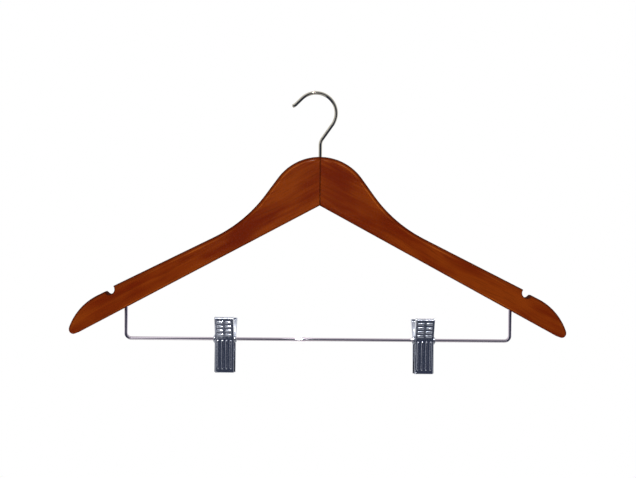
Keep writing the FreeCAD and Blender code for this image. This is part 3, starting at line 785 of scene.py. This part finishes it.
class HANGER_OT_stage(bpy.types.Operator):
    """Set the pale floor and backdrop, the lamps and the camera"""
    bl_idname = "hanger.stage"
    bl_label = "Stage"

    def execute(self, context):
        settings = context.scene.hanger_stage
        scene = context.scene
        scene.view_settings.view_transform = "Standard"
        self.lay_floor(scene, settings)
        self.light_backdrop(scene, settings)
        self.hang_lamps(scene, settings)
        self.place_camera(scene)
        return {"FINISHED"}

    def lay_floor(self, scene, settings):
        bm = bmesh.new()
        flat = Matrix.Translation((0.0, 0.0, settings.floor_level))
        bmesh.ops.create_circle(
            bm, cap_ends=True, radius=settings.floor_radius, segments=FLOOR_SIDES, matrix=flat
        )
        bmesh.ops.recalc_face_normals(bm, faces=bm.faces)
        mesh = bpy.data.meshes.new("studio_floor")
        bm.to_mesh(mesh)
        bm.free()
        paint = new_material("Pale painted floor", Base_Color=opaque(settings.floor_colour), Roughness=0.9)[0]
        mesh.materials.append(paint)
        floor = bpy.data.objects.new("studio_floor", mesh)
        scene.collection.objects.link(floor)

    def light_backdrop(self, scene, settings):
        """The backdrop behind the hanger is white and lit. The room behind the camera is dim."""
        white = (1.0, 1.0, 1.0, 1.0)
        world = bpy.data.worlds.new("Studio")
        scene.world = world
        world.use_nodes = True
        tree = world.node_tree
        tree.nodes.clear()
        heading = add(tree, "ShaderNodeTexCoord").outputs["Generated"]
        apart = add(tree, "ShaderNodeSeparateXYZ", {"Vector": heading})

        # What the metal mirrors: the backdrop reaches further round on the left, and the ceiling is pale
        leftward = add(
            tree, "ShaderNodeMath",
            {0: apart.outputs["X"], 1: -0.15, 2: apart.outputs["Y"]}, operation="MULTIPLY_ADD",
        )
        behind = add(
            tree, "ShaderNodeMapRange",
            {"Value": leftward.outputs["Value"], "From Min": -0.55, "From Max": -0.15},
            interpolation_type="SMOOTHSTEP",
        )
        raised = add(
            tree, "ShaderNodeMapRange",
            {"Value": apart.outputs["Z"], "From Min": -0.45, "From Max": -0.1},
            interpolation_type="SMOOTHSTEP",
        )
        backdrop = add(
            tree, "ShaderNodeMath",
            {0: behind.outputs["Result"], 1: raised.outputs["Result"]}, operation="MULTIPLY",
        )
        ceiling = add(
            tree, "ShaderNodeMapRange",
            {"Value": apart.outputs["Z"], "From Min": 0.15, "From Max": 0.6, "To Max": 0.45},
            interpolation_type="SMOOTHSTEP",
        )
        pale = add(
            tree, "ShaderNodeMath",
            {0: backdrop.outputs["Value"], 1: ceiling.outputs["Result"]}, operation="MAXIMUM",
        )
        mirrored = add(
            tree, "ShaderNodeMix",
            {0: pale.outputs["Value"], 6: opaque(settings.room_colour), 7: white}, data_type="RGBA",
        )

        # Matt surfaces get even light, and the camera sees white
        path = add(tree, "ShaderNodeLightPath")
        even = opaque([settings.ambient] * 3)
        lit = add(
            tree, "ShaderNodeMix",
            {0: path.outputs["Is Glossy Ray"], 6: even, 7: mirrored.outputs[2]}, data_type="RGBA",
        )
        seen = add(
            tree, "ShaderNodeMath",
            {0: path.outputs["Is Camera Ray"], 1: path.outputs["Is Transmission Ray"]},
            operation="MAXIMUM",
        )
        shown = add(
            tree, "ShaderNodeMix", {0: seen.outputs["Value"], 6: lit.outputs[2], 7: white}, data_type="RGBA"
        )
        light = add(tree, "ShaderNodeBackground", {"Color": shown.outputs[2], "Strength": 1.0})
        add(tree, "ShaderNodeOutputWorld", {"Surface": light.outputs["Background"]})

    def hang_lamps(self, scene, settings):
        """Each lamp has a place, a shape with its width and height, a power, and what it lights."""
        aim = Vector((0.0, 0.0, -0.14))
        large = ("ELLIPSE", 0.60, 0.60)
        small = ("ELLIPSE", 0.02, 0.02)
        strip = ("RECTANGLE", 0.16, 0.80)
        matt = (True, False)
        metal = (False, True)
        both = (True, True)
        lamps = (
            ("Key lamp", (-0.10, -1.35, 0.02), large, settings.key_power, matt),
            ("Back lamp", (0.10, 1.35, 0.02), large, settings.key_power, matt),
            ("Glint lamp", (-0.035, -0.90, 0.45), small, settings.glint_power, metal),
            ("Right glint lamp", (0.26, -0.90, 0.45), small, settings.side_glint_power, metal),
            ("Upper strip", (-0.40, -0.80, 0.50), strip, settings.strip_power, both),
            ("Lower strip", (-0.40, -0.70, -0.95), strip, settings.strip_power, both),
        )
        for name, place, (shape, width, height), power, (on_matt, on_metal) in lamps:
            data = bpy.data.lights.new(name, "AREA")
            data.shape = shape
            data.size = width
            data.size_y = height
            data.energy = power
            lamp = bpy.data.objects.new(name, data)
            lamp.visible_diffuse = on_matt
            lamp.visible_glossy = on_metal
            turn = (aim - Vector(place)).to_track_quat("-Z", "Y").to_matrix().to_4x4()
            lamp.matrix_world = Matrix.Translation(place) @ turn
            scene.collection.objects.link(lamp)

    def place_camera(self, scene):
        """The camera stands nearly square to the hanger, 0.6 m in front of it."""
        place = (-0.0083, -0.600, -0.1351)
        yaw = math.radians(0.67)
        pitch = math.radians(0.53)
        roll = math.radians(0.56)
        # Half the width of the picture and the focal length, both in pixels
        half_width = 318
        focal_length = 667.3
        level = math.cos(pitch)
        ahead = Vector((math.sin(yaw) * level, math.cos(yaw) * level, math.sin(pitch)))
        right = Vector((math.cos(yaw), -math.sin(yaw), 0.0))
        up = right.cross(ahead)
        across = right * math.cos(roll) + up * math.sin(roll)
        upright = up * math.cos(roll) - right * math.sin(roll)
        data = bpy.data.cameras.new("Photo camera")
        data.sensor_fit = "HORIZONTAL"
        data.angle = 2 * math.atan(half_width / focal_length)
        camera = bpy.data.objects.new("Photo camera", data)
        turn = Matrix((across, upright, -ahead)).transposed().to_4x4()
        camera.matrix_world = Matrix.Translation(place) @ turn
        scene.collection.objects.link(camera)
        scene.camera = camera


class HANGER_PT_sidebar(bpy.types.Panel):
    """Lists the hanger's pieces and their settings"""
    bl_idname = "HANGER_PT_sidebar"
    bl_label = "Skirt hanger"
    bl_space_type = "VIEW_3D"
    bl_region_type = "UI"
    bl_category = "Hanger"

    def draw(self, context):
        for operator in operators:
            self.layout.operator(operator.bl_idname)
        for name in settings_groups:
            group = getattr(context.scene, name)
            box = self.layout.box()
            for field in group.bl_rna.properties.keys():
                if field not in ("rna_type", "name"):
                    box.prop(group, field)


settings_groups = {
    "hanger_wood": HangerWood,
    "hanger_wire": HangerWire,
    "hanger_clip": HangerClip,
    "hanger_stage": HangerStage,
}
operators = (
    HANGER_OT_wooden_arms,
    HANGER_OT_swivel_hook,
    HANGER_OT_hook_washer,
    HANGER_OT_clip_bar,
    HANGER_OT_clip_jaws,
    HANGER_OT_clip_sleeves,
    HANGER_OT_clip_springs,
    HANGER_OT_grip_pads,
    HANGER_OT_stage,
)
classes = (*settings_groups.values(), *operators, HANGER_PT_sidebar)


def register():
    for each in classes:
        bpy.utils.register_class(each)
    for name, group in settings_groups.items():
        setattr(bpy.types.Scene, name, bpy.props.PointerProperty(type=group))


def unregister():
    for name in settings_groups:
        delattr(bpy.types.Scene, name)
    for each in reversed(classes):
        bpy.utils.unregister_class(each)


def main():
    register()
    bpy.ops.hanger.wooden_arms()
    bpy.ops.hanger.swivel_hook()
    bpy.ops.hanger.hook_washer()
    bpy.ops.hanger.clip_bar()
    bpy.ops.hanger.clip_jaws()
    bpy.ops.hanger.clip_sleeves()
    bpy.ops.hanger.clip_springs()
    bpy.ops.hanger.grip_pads()
    bpy.ops.hanger.stage()


if __name__ == "__main__":
    main()
